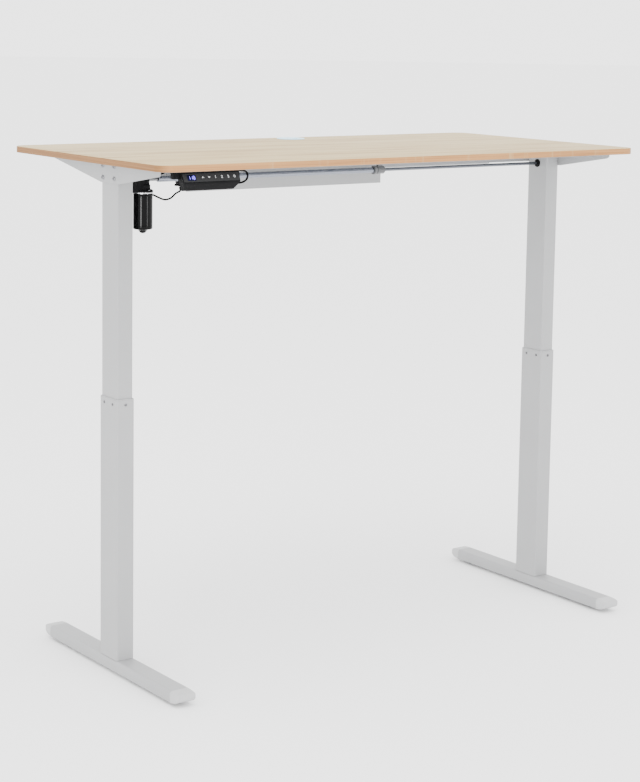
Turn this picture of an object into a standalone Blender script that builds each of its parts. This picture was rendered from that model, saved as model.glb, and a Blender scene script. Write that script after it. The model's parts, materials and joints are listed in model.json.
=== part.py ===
"""Height adjustable standing desk with one motor and a cross shaft.

Units are metres. +X runs along the desk's width, -Y is the user's side and +Z is up.
The origin is on the floor, in the middle of the desk's footprint. The desk is modelled
raised to its upper stop: the lift slide lowers the whole top by LIFT_STROKE.
"""

import math

import bmesh
import bpy
from mathutils import Matrix, Vector

# ---------------------------------------------------------------- driving dimensions

GAP = 0.0003                     # clearance between pieces that touch
ROUND_SIDES = 24                 # sides of the larger round pieces
SMALL_SIDES = 16
SCREW_SIDES = 8

TOP_WIDTH = 1.400
TOP_DEPTH = 0.700
TOP_THICKNESS = 0.015
TOP_HEIGHT = 1.200               # floor to the worktop's upper face
TOP_CORNER_RADIUS = 0.035
TOP_CENTRE_Y = 0.0115            # the feet reach past the worktop's front edge
UNDERSIDE = TOP_HEIGHT - TOP_THICKNESS

LIFT_STROKE = 0.470

COLUMN_X = 0.6435                # centre of each leg from the middle of the desk
COLUMN_Y = -0.0515
OUTER_COLUMN = (0.0455, 0.0790)  # X and Y size of the lower tube
OUTER_WALL = 0.0012
OUTER_COLUMN_TOP = 0.6460
INNER_COLUMN = (0.0405, 0.0720)
INNER_WALL = 0.0015
INNER_COLUMN_BOTTOM = LIFT_STROKE + 0.060   # stays clear of the base plate when lowered
COLUMN_CORNER_RADIUS = 0.0040
BASE_PLATE = 0.0040

FOOT_WIDTH = 0.051
FOOT_HEIGHT = 0.027
FOOT_LENGTH = 0.620
FOOT_BOTTOM = 0.0070
FOOT_TOP = FOOT_BOTTOM + FOOT_HEIGHT
FOOT_WALL = 0.0020
FOOT_CAP_LENGTH = 0.030          # visible length of the curved end cap
GLIDE_OFFSET = 0.244             # glide from the leg's centre, along the foot
GLIDE_RADIUS = 0.012
GLIDE_STEM_RADIUS = 0.0040

SHAFT_Z = 1.1445
SHAFT_TUBE_RADIUS = 0.0070
SHAFT_TUBE_BORE = 0.0050
SHAFT_TUBE = (-0.538, 0.080)     # from and to, along X
SHAFT_ROD_RADIUS = 0.0044
COUPLER_X = (0.0810, 0.1130)
BEVEL_TEETH = 12
WORM_WHEEL_TEETH = 20

SCREW_RADIUS = 0.0060
SCREW_BOTTOM = 0.575
NUT_BOTTOM = 0.5853
NUT_TOP = 0.6150
NUT_TUBE_RADIUS = 0.0140
BEARING_BLOCK = (1.0960, 1.1120)  # from and to, along Z

BRACKET_THICKNESS = 0.0020
BRACKET_BOTTOM = 1.1400
BRACKET_FRONT_Y = -0.2760        # blunt front tip, 15 mm tall
BRACKET_REAR_Y = 0.2220          # thin rear tip
BRACKET_FLANGE = 0.030

BEAM_FRONT_Y = -0.0120
BEAM_DEPTH = 0.0200
BEAM_BOTTOM = 1.1448
BEAM_SLEEVE_HALF = 0.4900
BEAM_WALL = 0.0015

TRAY_X = (-0.438, 0.134)
TRAY_SLANT = 0.93                # how far the open left end runs back in X per metre of Y
TRAY_REAR_Y = 0.1000
TRAY_BOTTOM = 1.1080
SHEET = 0.0015
CONTROL_BOX = (0.240, 0.080, 0.029)
CONTROL_BOX_CENTRE = (-0.200, 0.056)

MOTOR_X = -0.590
MOTOR_Y = -0.0735
MOTOR_RADIUS = 0.0230
MOTOR_BOTTOM = 1.0340
MOTOR_TOP = 1.1160
FLANGE_SPACE = 0.0028             # room for the steel flange between can and gearbox
GEARBOX_TOP = 1.1700

HANDSET_X = (-0.645, -0.492)
HANDSET_PANEL_TOP = (-0.3215, 1.1800)   # Y, Z of the sloping face's upper edge
HANDSET_NOSE = (-0.3335, 1.1600)        # Y, Z where the face turns back under
BUTTON_FIRST_X = -0.5904
BUTTON_PITCH = 0.0163
BUTTON_NAMES = ("up", "down", "memory_1", "memory_2", "memory_3", "reminder")

GROMMET_X = 0.080
GROMMET_Y = TOP_CENTRE_Y + TOP_DEPTH / 2 - 0.055
GROMMET_RADIUS = 0.0365
GROMMET_HOLE_RADIUS = 0.0300


# ---------------------------------------------------------------- scene and materials

def clear_scene():
    for item in list(bpy.data.objects):
        bpy.data.objects.remove(item, do_unlink=True)


def material(name, colour, roughness, metallic=0.0):
    made = bpy.data.materials.new(name)
    made.use_nodes = True
    shader = made.node_tree.nodes["Principled BSDF"]
    shader.inputs["Base Color"].default_value = (*colour, 1.0)
    shader.inputs["Roughness"].default_value = roughness
    shader.inputs["Metallic"].default_value = metallic
    return made


PALETTE = {
    "oak": ((0.62, 0.52, 0.42), 0.50, 0.0),
    "powder_grey": ((0.62, 0.63, 0.64), 0.45, 0.0),
    "grey_plastic": ((0.60, 0.61, 0.62), 0.50, 0.0),
    "coupler_grey": ((0.30, 0.30, 0.31), 0.45, 0.0),
    "black_plastic": ((0.015, 0.015, 0.017), 0.40, 0.0),
    "motor_black": ((0.012, 0.012, 0.013), 0.25, 0.4),
    "steel": ((0.55, 0.55, 0.56), 0.30, 1.0),
    "zinc": ((0.62, 0.63, 0.65), 0.35, 1.0),
    "brass": ((0.72, 0.55, 0.28), 0.35, 1.0),
    "button_grey": ((0.035, 0.036, 0.040), 0.30, 0.0),
    "rubber": ((0.020, 0.020, 0.020), 0.80, 0.0),
    "pale_plastic": ((0.66, 0.72, 0.74), 0.35, 0.0),
}


def place(mesh, name, finish, location=(0, 0, 0), rotation=(0, 0, 0), smooth=True):
    """Puts a mesh in the scene as one named node with its own material."""
    node = bpy.data.objects.new(name, mesh)
    bpy.context.scene.collection.objects.link(node)
    node.location = location
    node.rotation_euler = rotation
    colour, roughness, metallic = PALETTE[finish]
    mesh.materials.clear()
    mesh.materials.append(material(name + "_material", colour, roughness, metallic))
    if smooth:
        mesh.shade_smooth()
        mesh.set_sharp_from_angle(angle=math.radians(35))
    return node


# ---------------------------------------------------------------- outlines and solids

def rounded_rectangle(size_u, size_v, radius, steps=3, centre=(0.0, 0.0)):
    """Outline of a rectangle with round corners, anticlockwise."""
    outline = []
    corners = ((1, 1, 0), (-1, 1, 90), (-1, -1, 180), (1, -1, 270))
    for sign_u, sign_v, start in corners:
        mid_u = centre[0] + sign_u * (size_u / 2 - radius)
        mid_v = centre[1] + sign_v * (size_v / 2 - radius)
        for step in range(steps + 1):
            angle = math.radians(start + 90 * step / steps)
            outline.append((mid_u + radius * math.cos(angle), mid_v + radius * math.sin(angle)))
    return outline


def circle(radius, sides, centre=(0.0, 0.0), turn=0.0):
    points = []
    for side in range(sides):
        angle = turn + 2 * math.pi * side / sides
        points.append((centre[0] + radius * math.cos(angle), centre[1] + radius * math.sin(angle)))
    return points


def gear_outline(root, tip, teeth):
    """Outline of a toothed wheel with flat-topped teeth."""
    points = []
    for tooth in range(teeth):
        for share, radius in ((-0.30, root), (-0.15, tip), (0.15, tip), (0.30, root)):
            angle = 2 * math.pi * (tooth + share) / teeth
            points.append((radius * math.cos(angle), radius * math.sin(angle)))
    return points


def to_axis(axis, u, v, w):
    """Maps outline coordinates (u, v) and height w to XYZ, with w along the named axis."""
    return {"X": (w, u, v), "Y": (v, w, u), "Z": (u, v, w)}[axis]


def finish_mesh(shape, name):
    bmesh.ops.recalc_face_normals(shape, faces=shape.faces)
    mesh = bpy.data.meshes.new(name)
    shape.to_mesh(mesh)
    shape.free()
    return mesh


def loft(name, sections, axis="Z", hole=None):
    """Solid through a list of (w, outline) sections; hole is one outline through it all."""
    shape = bmesh.new()
    rings = []
    for w, outline in sections:
        rings.append([shape.verts.new(to_axis(axis, u, v, w)) for u, v in outline])
    count = len(rings[0])
    for lower, upper in zip(rings, rings[1:]):
        for i in range(count):
            j = (i + 1) % count
            shape.faces.new((lower[i], lower[j], upper[j], upper[i]))
    if hole is None:
        shape.faces.new(rings[0][::-1])
        shape.faces.new(rings[-1])
    else:
        ends = []
        for w in (sections[0][0], sections[-1][0]):
            ends.append([shape.verts.new(to_axis(axis, u, v, w)) for u, v in hole])
        for i in range(count):
            j = (i + 1) % count
            shape.faces.new((ends[0][i], ends[1][i], ends[1][j], ends[0][j]))
            shape.faces.new((rings[0][i], ends[0][i], ends[0][j], rings[0][j]))
            shape.faces.new((rings[-1][i], rings[-1][j], ends[1][j], ends[1][i]))
    return finish_mesh(shape, name)


def prism(name, outline, low, high, axis="Z", hole=None):
    return loft(name, [(low, outline), (high, outline)], axis, hole)


def box(name, low, high):
    outline = [(low[0], low[1]), (high[0], low[1]), (high[0], high[1]), (low[0], high[1])]
    return prism(name, outline, low[2], high[2])


def lathe(name, profile, sides, axis="Z", centre=(0.0, 0.0), closed=False):
    """Turned solid from (radius, height) points; a closed profile makes a ring."""
    shape = bmesh.new()
    rings = []
    for radius, w in profile:
        if radius == 0:
            rings.append([shape.verts.new(to_axis(axis, *centre, w))])
        else:
            rings.append([shape.verts.new(to_axis(axis, u, v, w)) for u, v in circle(radius, sides, centre)])
    pairs = list(zip(rings, rings[1:]))
    if closed:
        pairs.append((rings[-1], rings[0]))
    for lower, upper in pairs:
        for i in range(sides):
            j = (i + 1) % sides
            if len(lower) == 1:
                shape.faces.new((lower[0], upper[j], upper[i]))
            elif len(upper) == 1:
                shape.faces.new((lower[i], lower[j], upper[0]))
            else:
                shape.faces.new((lower[i], lower[j], upper[j], upper[i]))
    return finish_mesh(shape, name)


def boolean(mesh, others, operation):
    """Joins or cuts a mesh with other meshes, and returns the resulting mesh."""
    node = bpy.data.objects.new("work_piece", mesh)
    bpy.context.scene.collection.objects.link(node)
    tools = []
    for other in others:
        tool = bpy.data.objects.new("work_tool", other)
        bpy.context.scene.collection.objects.link(tool)
        modifier = node.modifiers.new("join", "BOOLEAN")
        modifier.operation = operation
        modifier.solver = "EXACT"
        modifier.object = tool
        tools.append(tool)
    graph = bpy.context.evaluated_depsgraph_get()
    result = bpy.data.meshes.new_from_object(node.evaluated_get(graph))
    for item in [node, *tools]:
        bpy.data.objects.remove(item, do_unlink=True)
    return result


def cut(mesh, tools):
    return boolean(mesh, tools, "DIFFERENCE")


def join(mesh, others):
    return boolean(mesh, others, "UNION")


def bevelled(node, width, segments=2, angle=40):
    modifier = node.modifiers.new("edge", "BEVEL")
    modifier.width = width
    modifier.segments = segments
    modifier.limit_method = "ANGLE"
    modifier.angle_limit = math.radians(angle)
    return node


# ---------------------------------------------------------------- worktop

def build_worktop():
    outline = rounded_rectangle(TOP_WIDTH, TOP_DEPTH, TOP_CORNER_RADIUS, 6, (0, TOP_CENTRE_Y))
    slab = prism("worktop", outline, UNDERSIDE, TOP_HEIGHT)
    hole = prism("hole", circle(GROMMET_HOLE_RADIUS, ROUND_SIDES, (GROMMET_X, GROMMET_Y)), 1.10, 1.30)
    bevelled(place(cut(slab, [hole]), "worktop", "oak"), 0.0008, 1)

    sleeve = GROMMET_HOLE_RADIUS - GAP
    bore = sleeve - 0.0025
    seat = bore - 0.0020
    ring = [(seat, UNDERSIDE + 0.002), (sleeve, UNDERSIDE + 0.002), (sleeve, TOP_HEIGHT + GAP),
            (GROMMET_RADIUS, TOP_HEIGHT + GAP), (GROMMET_RADIUS, TOP_HEIGHT + 0.0012),
            (GROMMET_RADIUS - 0.0015, TOP_HEIGHT + 0.0025), (bore, TOP_HEIGHT + 0.0025),
            (bore, TOP_HEIGHT - 0.0020), (seat, TOP_HEIGHT - 0.0020)]
    centre = (GROMMET_X, GROMMET_Y)
    mesh = lathe("grommet_ring", ring, ROUND_SIDES, centre=centre, closed=True)
    place(mesh, "grommet_ring", "pale_plastic")
    lid = circle(bore - GAP, ROUND_SIDES)
    slot = box("slot", (-0.009, -0.050, -0.01), (0.009, -0.013, 0.01))
    plate = cut(prism("lid", lid, 0, 0.0042), [slot])
    place(plate, "grommet_lid", "pale_plastic", (GROMMET_X, GROMMET_Y, TOP_HEIGHT - 0.0017))


# ---------------------------------------------------------------- legs

def inner_side(side):
    """X direction from a leg towards the middle of the desk."""
    return -side


def build_foot(name, side):
    x = side * COLUMN_X
    half = FOOT_LENGTH / 2
    mid_z = FOOT_BOTTOM + FOOT_HEIGHT / 2
    tube_half = half - FOOT_CAP_LENGTH

    def section(inset):
        """Tube section, seen along Y: round upper edges, nearly square lower ones."""
        upper, lower = 0.0070 - inset, 0.0025 - inset * 0.9
        points = []
        right, top = FOOT_WIDTH / 2 - inset, FOOT_HEIGHT / 2 - inset
        for sign, start in ((1, 0), (-1, 90)):
            for step in range(5):
                angle = math.radians(start + 22.5 * step)
                points.append((mid_z + top - upper + upper * math.sin(angle),
                               x + sign * (right - upper) + upper * math.cos(angle)))
        for sign, start in ((-1, 180), (1, 270)):
            for step in range(3):
                angle = math.radians(start + 45 * step)
                points.append((mid_z - top + lower + lower * math.sin(angle),
                               x + sign * (right - lower) + lower * math.cos(angle)))
        return points

    tube = prism("foot", section(0), COLUMN_Y - tube_half, COLUMN_Y + tube_half, "Y", section(FOOT_WALL))
    holes = []
    for end in (-1, 1):
        spot = (x, COLUMN_Y + end * GLIDE_OFFSET)
        outline = circle(GLIDE_STEM_RADIUS + GAP, SMALL_SIDES, spot)
        holes.append(prism("hole", outline, 0, FOOT_BOTTOM + 0.006))
    place(cut(tube, holes), name + "_foot", "powder_grey")

    for end, label in ((-1, "front"), (1, "rear")):
        y_seam = COLUMN_Y + end * tube_half
        place(foot_cap_mesh(x, y_seam, end, section), name + "_foot_cap_" + label, "powder_grey")
        spot = (x, COLUMN_Y + end * GLIDE_OFFSET)
        profile = [(0, 0), (GLIDE_RADIUS - 0.001, 0), (GLIDE_RADIUS, 0.001), (GLIDE_RADIUS, 0.0045),
                   (GLIDE_RADIUS - 0.003, FOOT_BOTTOM - GAP), (GLIDE_STEM_RADIUS, FOOT_BOTTOM - GAP),
                   (GLIDE_STEM_RADIUS, FOOT_BOTTOM + 0.020), (0, FOOT_BOTTOM + 0.020)]
        mesh = lathe("glide", profile, SMALL_SIDES)
        place(mesh, name + "_glide_" + label, "rubber", (*spot, 0))


def foot_cap_mesh(x, y_seam, end, section):
    """Blunt cap whose underside sweeps up to the nose, with a plug that fits inside the foot."""
    steps = 7
    full = section(0)
    nose_low, nose_high = FOOT_BOTTOM + 0.0125, FOOT_TOP - 0.0045
    sections = []
    for step in range(steps + 1):
        angle = math.radians(90 * step / steps)
        y = y_seam + end * (GAP + (FOOT_CAP_LENGTH - GAP) * math.sin(angle))
        turned = 1 - math.cos(angle)
        floor = FOOT_BOTTOM + (nose_low - FOOT_BOTTOM) * turned
        top = FOOT_TOP - (FOOT_TOP - nose_high) * turned
        scale = (top - floor) / FOOT_HEIGHT
        narrow = 1 - 0.10 * turned
        ring = [(floor + (z - FOOT_BOTTOM) * scale, x + (px - x) * narrow) for z, px in full]
        sections.append((y, ring))
    if end < 0:
        sections.reverse()
    nose = loft("cap", sections, "Y")
    inner = section(FOOT_WALL + GAP)
    plug_ends = sorted((y_seam - end * 0.022, y_seam + end * 0.006))
    return join(nose, [prism("plug", inner, *plug_ends, "Y")])


def build_column(name, side):
    x = side * COLUMN_X
    centre = (x, COLUMN_Y)
    outer = rounded_rectangle(*OUTER_COLUMN, COLUMN_CORNER_RADIUS, 3, centre)
    bore_x = OUTER_COLUMN[0] - 2 * OUTER_WALL
    bore_y = OUTER_COLUMN[1] - 2 * OUTER_WALL
    bore = rounded_rectangle(bore_x, bore_y, COLUMN_CORNER_RADIUS - OUTER_WALL, 3, centre)
    bottom = FOOT_TOP + GAP
    tube = prism("column", outer, bottom, OUTER_COLUMN_TOP, "Z", bore)
    plate = prism("plate", rounded_rectangle(bore_x + 0.001, bore_y + 0.001, 0.0030, 3, centre),
                  bottom, bottom + BASE_PLATE)
    screws = guide_screws(side)
    holes = [screw_solid(*screw, clearance=GAP) for screw in screws]
    place(cut(join(tube, [plate]), holes), name + "_outer_column", "powder_grey")

    # The guide sleeve lines the mouth of the lower tube; its screws pass through the wall.
    liner = rounded_rectangle(bore_x - 2 * GAP, bore_y - 2 * GAP, 0.0024, 3, centre)
    passage = rounded_rectangle(INNER_COLUMN[0] + 2 * GAP, INNER_COLUMN[1] + 2 * GAP,
                                COLUMN_CORNER_RADIUS - 0.0008, 3, centre)
    lip_outline = rounded_rectangle(OUTER_COLUMN[0] - 0.0006, OUTER_COLUMN[1] - 0.0006, 0.0037, 3, centre)
    lip_low = OUTER_COLUMN_TOP + GAP
    sleeve = prism("sleeve", liner, OUTER_COLUMN_TOP - 0.080, lip_low + 0.0010, "Z", passage)
    lip = prism("lip", lip_outline, lip_low, lip_low + 0.0017, "Z", passage)
    heads = [screw_solid(*screw) for screw in screws]
    place(join(sleeve, [lip, *heads]), name + "_guide_sleeve", "grey_plastic")

    build_inner_column(name, side)
    build_spindle(name, side)


def guide_screws(side):
    """Places (axis, position, outward sign) of the six screws round the lower tube's mouth."""
    x = side * COLUMN_X
    z = OUTER_COLUMN_TOP - 0.0110
    screws = []
    for sign in (-1, 1):
        for offset in (-0.019, 0.019):
            screws.append(("X", (x + sign * OUTER_COLUMN[0] / 2, COLUMN_Y + offset, z), sign))
        screws.append(("Y", (x, COLUMN_Y + sign * OUTER_COLUMN[1] / 2, z), sign))
    return screws


def screw_solid(axis, place_at, sign, clearance=0.0):
    """Pan-head screw: the head stands on the wall and the shank ends in the sleeve."""
    shank = 0.0016 + clearance
    depth = OUTER_WALL + GAP + 0.0003
    head = [] if clearance else [(0.0034, GAP), (0.0031, 0.0012), (0, 0.0015)]
    profile = [(0, -depth), (shank, -depth), (shank, GAP if head else 0.001)]
    profile += head or [(0, 0.001)]
    x, y, z = place_at
    turned = [(radius, sign * height) for radius, height in profile]
    if axis == "X":
        return lathe("screw", [(r, x + h) for r, h in turned], SCREW_SIDES, "X", (y, z))
    return lathe("screw", [(r, y + h) for r, h in turned], SCREW_SIDES, "Y", (z, x))


def build_inner_column(name, side):
    centre = (side * COLUMN_X, COLUMN_Y)
    outline = rounded_rectangle(*INNER_COLUMN, COLUMN_CORNER_RADIUS - 0.0008, 3, centre)
    bore = rounded_rectangle(INNER_COLUMN[0] - 2 * INNER_WALL, INNER_COLUMN[1] - 2 * INNER_WALL,
                             COLUMN_CORNER_RADIUS - 0.0023, 3, centre)
    tube = prism("column", outline, INNER_COLUMN_BOTTOM, UNDERSIDE - GAP, "Z", bore)
    tools = [bolt_solid(side, y, z, clearance=GAP) for y, z in bracket_bolt_places()]
    wall = centre[0] + inner_side(side) * INNER_COLUMN[0] / 2
    ends = sorted((wall - 0.004, wall + 0.004))
    radius = 0.0090 if side > 0 else 0.0075
    tools.append(prism("shaft_hole", circle(radius, SMALL_SIDES, (COLUMN_Y, SHAFT_Z)), *ends, "X"))
    place(cut(tube, tools), name + "_inner_column", "powder_grey")


def build_spindle(name, side):
    """Lead screw, nut and nut tube, and the block that carries the screw in the column."""
    x = side * COLUMN_X
    centre = (x, COLUMN_Y)
    floor = FOOT_TOP + GAP + BASE_PLATE + GAP
    tube = prism("nut_tube", circle(NUT_TUBE_RADIUS, SMALL_SIDES, centre), floor, NUT_BOTTOM - GAP, "Z",
                 circle(NUT_TUBE_RADIUS - 0.003, SMALL_SIDES, centre))
    place(tube, name + "_nut_tube", "zinc")
    bore = SCREW_RADIUS + GAP
    nut = [(bore, NUT_BOTTOM), (NUT_TUBE_RADIUS, NUT_BOTTOM), (NUT_TUBE_RADIUS, NUT_BOTTOM + 0.006),
           (0.0115, NUT_BOTTOM + 0.006), (0.0115, NUT_TOP), (bore, NUT_TOP)]
    place(lathe("nut", nut, SMALL_SIDES, centre=centre, closed=True), name + "_lead_nut", "brass")

    low, high = BEARING_BLOCK
    block = rounded_rectangle(INNER_COLUMN[0] - 2 * INNER_WALL - 2 * GAP,
                              INNER_COLUMN[1] - 2 * INNER_WALL - 2 * GAP, 0.0012, 3, centre)
    hole = circle(0.0050 + GAP, SMALL_SIDES, centre, math.radians(45 / 2))
    place(prism("block", block, low, high, "Z", hole), name + "_screw_bearing", "zinc")

    # The screw's shoulder hangs under the block and its gear sits on top of it.
    screw = [(0, SCREW_BOTTOM), (SCREW_RADIUS - 0.001, SCREW_BOTTOM), (SCREW_RADIUS, SCREW_BOTTOM + 0.001),
             (SCREW_RADIUS, low - 0.004), (0.0090, low - 0.004), (0.0090, low - GAP),
             (0.0050, low - GAP), (0.0050, SHAFT_Z - 0.0150), (0, SHAFT_Z - 0.0150)]
    place(lathe("screw", screw, SMALL_SIDES), name + "_lead_screw", "steel", (x, COLUMN_Y, 0))
    gear = bevel_gear("gear", high + GAP - SHAFT_Z, 0.0050 + GAP)
    place(gear, name + "_screw_gear", "steel", (x, COLUMN_Y, SHAFT_Z))


def bevel_gear(name, back, bore=0.0):
    """Bevel gear about local Z, its cone pointing up to the local origin."""
    front, heel = -0.0075, -0.0130
    sections = [(heel, gear_outline(0.0106, 0.0127, BEVEL_TEETH)),
                (front, gear_outline(0.0058, 0.0072, BEVEL_TEETH))]
    gear = join(loft(name, sections), [prism("hub", circle(0.0092, SMALL_SIDES), back, heel + 0.002)])
    if bore:
        gear = cut(gear, [prism("bore", circle(bore, 12), -0.1, -0.0001)])
    return gear


def pinion_mesh(side, bore):
    """Bevel gear turned onto the cross shaft, half a tooth out of step with the screw's gear."""
    pinion = bevel_gear("pinion", -0.0150, bore)
    half_tooth = Matrix.Rotation(math.pi / BEVEL_TEETH, 4, "Z")
    turn = Matrix.Rotation(side * math.radians(90), 4, "Y")
    pinion.transform(Matrix.Translation((side * COLUMN_X, 0, 0)) @ turn @ half_tooth)
    return pinion


# ---------------------------------------------------------------- side brackets

def bracket_bolt_places():
    """(Y, Z) of the four bolts that hold a side bracket on its column."""
    return [(COLUMN_Y + dy, z) for dy in (-0.0250, 0.0260) for z in (1.1515, 1.1785)]


def bolt_solid(side, y, z, clearance=0.0):
    """Button-head bolt from outside the bracket to the nut plate in the column."""
    plate_face = COLUMN_X + INNER_COLUMN[0] / 2 + GAP + BRACKET_THICKNESS
    shank = 0.0030 + clearance
    inner = COLUMN_X + INNER_COLUMN[0] / 2 - INNER_WALL - 0.0015
    if clearance:
        profile = [(0, inner - 0.002), (shank, inner - 0.002), (shank, plate_face + 0.004),
                   (0, plate_face + 0.004)]
    else:
        profile = [(0, inner), (shank, inner), (shank, plate_face + GAP), (0.0052, plate_face + GAP),
                   (0.0052, plate_face + 0.0010), (0.0034, plate_face + 0.0026), (0, plate_face + 0.0026)]
    return lathe("bolt", [(r, side * w) for r, w in profile], 10, "X", (y, z))


def build_bracket(name, side):
    """Tapered side plate with a flange folded in under the worktop."""
    face = COLUMN_X + INNER_COLUMN[0] / 2 + GAP
    top = UNDERSIDE - GAP
    rear_face = COLUMN_Y + INNER_COLUMN[1] / 2
    front_face = COLUMN_Y - INNER_COLUMN[1] / 2
    outline = [(BRACKET_REAR_Y, top), (BRACKET_FRONT_Y, top), (BRACKET_FRONT_Y, top - 0.0110),
               (BRACKET_FRONT_Y + 0.0080, top - 0.0150), (front_face - 0.006, BRACKET_BOTTOM),
               (rear_face, BRACKET_BOTTOM), (BRACKET_REAR_Y - 0.010, top - 0.0040)]
    ends = sorted((side * face, side * (face + BRACKET_THICKNESS)))
    plate = prism("bracket", outline, *ends, "X")
    flange_x = sorted((side * (face - BRACKET_FLANGE), side * (face + 0.001)))
    flanges = []
    beam_rear = BEAM_FRONT_Y + BEAM_DEPTH + GAP
    for low_y, high_y in ((BRACKET_FRONT_Y, front_face - 0.002), (beam_rear, BRACKET_REAR_Y)):
        flange = box("flange", (flange_x[0], low_y, top - BRACKET_THICKNESS), (flange_x[1], high_y, top))
        flanges.append(flange)
    holes = [bolt_solid(side, y, z, clearance=GAP) for y, z in bracket_bolt_places()]
    body = cut(join(plate, flanges), holes)
    place(body, name + "_bracket", "powder_grey")

    inside = side * (COLUMN_X + INNER_COLUMN[0] / 2 - INNER_WALL - GAP)
    deep = inside - side * 0.0030
    ends = sorted((inside, deep))
    nut_plate = prism("nut_plate", [(COLUMN_Y - 0.0310, 1.1440), (COLUMN_Y + 0.0310, 1.1440),
                                    (COLUMN_Y + 0.0310, 1.1840), (COLUMN_Y - 0.0310, 1.1840)], *ends, "X")
    bolts = [bolt_solid(side, y, z) for y, z in bracket_bolt_places()]
    place(join(nut_plate, bolts), name + "_bracket_bolts", "zinc")


# ---------------------------------------------------------------- cross beam and tray

def build_beam():
    mid = (BEAM_FRONT_Y + BEAM_DEPTH / 2, (BEAM_BOTTOM + UNDERSIDE - GAP) / 2)
    height = UNDERSIDE - GAP - BEAM_BOTTOM
    outer = rounded_rectangle(BEAM_DEPTH, height, 0.0025, 3, mid)
    bore = rounded_rectangle(BEAM_DEPTH - 2 * BEAM_WALL, height - 2 * BEAM_WALL, 0.0012, 3, mid)
    place(prism("sleeve", outer, -BEAM_SLEEVE_HALF, BEAM_SLEEVE_HALF, "X", bore),
          "beam_sleeve", "powder_grey")
    rail = rounded_rectangle(BEAM_DEPTH - 2 * BEAM_WALL - 2 * GAP, height - 2 * BEAM_WALL - 2 * GAP,
                             0.0010, 3, mid)
    rail_bore = rounded_rectangle(BEAM_DEPTH - 4 * BEAM_WALL - 2 * GAP,
                                  height - 4 * BEAM_WALL - 2 * GAP, 0.0005, 3, mid)
    end = COLUMN_X + INNER_COLUMN[0] / 2
    for name, side in (("left", -1), ("right", 1)):
        ends = sorted((side * 0.330, side * end))
        place(prism("rail", rail, *ends, "X", rail_bore), name + "_beam_rail", "powder_grey")


def build_tray():
    """Folded sheet trough under the beam, hung from the worktop by its tall rear wall."""
    front = BEAM_FRONT_Y - 0.0008
    low_x, high_x = TRAY_X
    rim = BEAM_BOTTOM - GAP
    top = UNDERSIDE - GAP
    floor = box("tray", (low_x, front, TRAY_BOTTOM), (high_x, TRAY_REAR_Y, TRAY_BOTTOM + SHEET))
    walls = [box("front", (low_x, front, TRAY_BOTTOM), (high_x, front + SHEET, rim)),
             box("rear", (low_x, TRAY_REAR_Y - SHEET, TRAY_BOTTOM), (high_x, TRAY_REAR_Y, top)),
             box("flange", (low_x, TRAY_REAR_Y - SHEET, top - SHEET), (high_x, TRAY_REAR_Y + 0.016, top)),
             box("right", (high_x - SHEET, front, TRAY_BOTTOM), (high_x, TRAY_REAR_Y, rim))]
    near, far = front - 0.010, TRAY_REAR_Y + 0.030
    slant = [(low_x - 0.050, near), (low_x + TRAY_SLANT * (near - front), near),
             (low_x + TRAY_SLANT * (far - front), far), (low_x - 0.050, far)]
    open_end = prism("open_end", slant, 1.0, 1.3)
    inlet_x = CONTROL_BOX_CENTRE[0]
    inlet = box("inlet", (inlet_x - 0.0150, TRAY_REAR_Y - 0.01, TRAY_BOTTOM + 0.0045),
                (inlet_x + 0.0150, TRAY_REAR_Y + 0.01, TRAY_BOTTOM + 0.0265))
    place(cut(join(floor, walls), [open_end, inlet]), "cable_tray", "powder_grey", smooth=False)


def build_control_box():
    low = TRAY_BOTTOM + SHEET + GAP
    x = CONTROL_BOX_CENTRE[0]
    length, depth, height = CONTROL_BOX
    case = prism("case", rounded_rectangle(length, depth, 0.004, 2, CONTROL_BOX_CENTRE), low, low + height)
    inlet = box("inlet", (x - 0.0130, 0.0900, low + 0.0045), (x + 0.0130, TRAY_REAR_Y - 0.0002, low + 0.0235))
    socket = box("socket", (x - 0.0095, 0.0880, low + 0.0080), (x + 0.0095, 0.110, low + 0.0200))
    place(cut(join(case, [inlet]), [socket]), "control_box", "black_plastic", smooth=False)


# ---------------------------------------------------------------- drive

def build_drive():
    low = MOTOR_TOP + FLANGE_SPACE
    axis_y = COLUMN_Y
    block = rounded_rectangle(0.0440, 0.0570, 0.0040, 3, (-0.6002, -0.0575))
    housing = prism("housing", block, low, GEARBOX_TOP)
    cavities = [prism("wheel_room", circle(0.0180, SMALL_SIDES, (axis_y, SHAFT_Z)), -0.598, -0.582, "X"),
                prism("worm_room", circle(0.0072, 12, (MOTOR_X, MOTOR_Y)), low - 0.01, 1.1665),
                prism("shaft_room", circle(0.0054, 12, (axis_y, SHAFT_Z)), -0.64, -0.56, "X")]
    place(cut(housing, cavities), "drive_gearbox", "black_plastic")

    centre = (MOTOR_X, MOTOR_Y)
    place(prism("ring", circle(MOTOR_RADIUS, ROUND_SIDES, centre), MOTOR_TOP + GAP, low - GAP, "Z",
                circle(0.0060, ROUND_SIDES, centre)), "motor_flange", "steel")
    radius = MOTOR_RADIUS - 0.0006
    can = [(0, MOTOR_TOP), (radius, MOTOR_TOP), (radius, MOTOR_BOTTOM + 0.0020),
           (radius - 0.0020, MOTOR_BOTTOM), (0.0130, MOTOR_BOTTOM - 0.0010),
           (0.0100, MOTOR_BOTTOM - 0.0030), (0.0070, MOTOR_BOTTOM - 0.0070),
           (0.0040, MOTOR_BOTTOM - 0.0092), (0, MOTOR_BOTTOM - 0.0095)]
    place(lathe("can", can, ROUND_SIDES, centre=centre), "motor_can", "motor_black")
    worm = [(0, low + 0.001), (0.0045, low + 0.001), (0.0060, low + 0.010), (0.0060, 1.1600),
            (0.0040, 1.1655), (0, 1.1655)]
    place(lathe("worm", worm, 12), "worm", "steel", (*centre, 0))


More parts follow.
